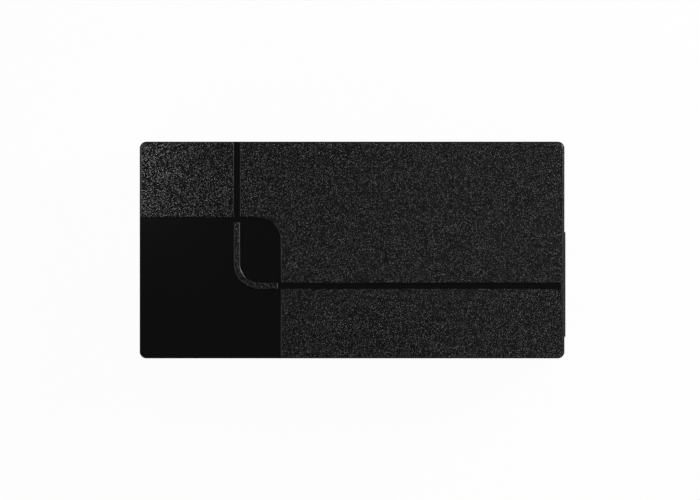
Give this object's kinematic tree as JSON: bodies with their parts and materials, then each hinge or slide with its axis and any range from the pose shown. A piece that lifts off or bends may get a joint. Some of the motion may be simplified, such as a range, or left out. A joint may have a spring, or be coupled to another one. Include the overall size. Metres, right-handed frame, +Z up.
{
  "type": "poe injector",
  "caption": "Flat black power-over-Ethernet injector with a mains inlet at one end and a double modular socket at the other; grooved textured top with a polished sunk corner.",
  "frame": {"origin": "on the surface under the feet, below the middle of the case", "axes": "+X along the case towards the socket end, +Y across the case, +Z up through the top face"},
  "size_m": [0.1266, 0.0642, 0.038],
  "materials": {
    "textured_case": "spark-eroded satin, polished where it is sunk",
    "foot_rubber": "matt",
    "zinc_screw": "zinc plated",
    "blank_label": "satin film",
    "insulation_film": "smooth",
    "circuit_board": "solder resist",
    "inlet_plastic": "satin moulded",
    "nickel_blade": "nickel plated",
    "fuse_glass": "clear",
    "brass_clip": "tinned",
    "blue_epoxy": "dipped",
    "capacitor_yellow": "moulded",
    "dark_moulding": "moulded",
    "ferrite": "ground",
    "copper_wire": "enamelled",
    "chip_plastic": "moulded",
    "capacitor_sleeve": "shrunk film",
    "heatsink_aluminium": "sawn",
    "silicone_pad": "matt",
    "winding_tape": "film tape",
    "white_moulding": "moulded",
    "powder_core": "lacquered",
    "socket_plastic": "satin moulded",
    "gold_contact": "gold flashed",
    "clear_pipe": "clear"
  },
  "bodies": {
    "case": {"top_shell": "textured_case", "bottom_shell": "textured_case", "rubber_feet": "foot_rubber", "case_screws": "zinc_screw", "rating_label": "blank_label", "insulation_sheet": "insulation_film", "circuit_board": "circuit_board", "board_screws": "zinc_screw", "inlet_body": "inlet_plastic", "inlet_blades": "nickel_blade", "fuse_tube": "fuse_glass", "fuse_caps": "nickel_blade", "fuse_clips": "brass_clip", "varistor": "blue_epoxy", "line_capacitor": "capacitor_yellow", "line_choke_base": "dark_moulding", "line_choke_core": "ferrite", "line_choke_windings": "copper_wire", "bridge_rectifier": "chip_plastic", "bulk_capacitor": "capacitor_sleeve", "primary_heatsink": "heatsink_aluminium", "switching_transistor": "chip_plastic", "secondary_heatsink": "heatsink_aluminium", "output_rectifier": "chip_plastic", "insulating_pads": "silicone_pad", "heatsink_screws": "zinc_screw", "transformer_core": "ferrite", "transformer_bobbin": "dark_moulding", "transformer_winding": "winding_tape", "safety_capacitor": "blue_epoxy", "optocoupler": "white_moulding", "supply_controller": "chip_plastic", "output_capacitors": "capacitor_sleeve", "output_choke_core": "powder_core", "output_choke_winding": "copper_wire", "port_transformers": "chip_plastic", "port_controller": "chip_plastic", "jack_housing": "socket_plastic", "data_terminals": "gold_contact", "power_terminals": "gold_contact", "status_leds": "white_moulding", "light_pipes": "clear_pipe"},
    "data_contacts": {"data_springs": "gold_contact"},
    "power_contacts": {"power_springs": "gold_contact"}
  },
  "joints": [
    {"name": "data_contact_flex", "type": "hinge", "parent": "case", "child": "data_contacts", "pos_m": [0.0609, -0.0027, 0.0205], "axis": [0, 1, 0], "range_deg": [0, 8], "stiffness_Nm_per_rad": 0.05},
    {"name": "power_contact_flex", "type": "hinge", "parent": "case", "child": "power_contacts", "pos_m": [0.0609, -0.0179, 0.0205], "axis": [0, 1, 0], "range_deg": [0, 8], "stiffness_Nm_per_rad": 0.05}
  ]
}
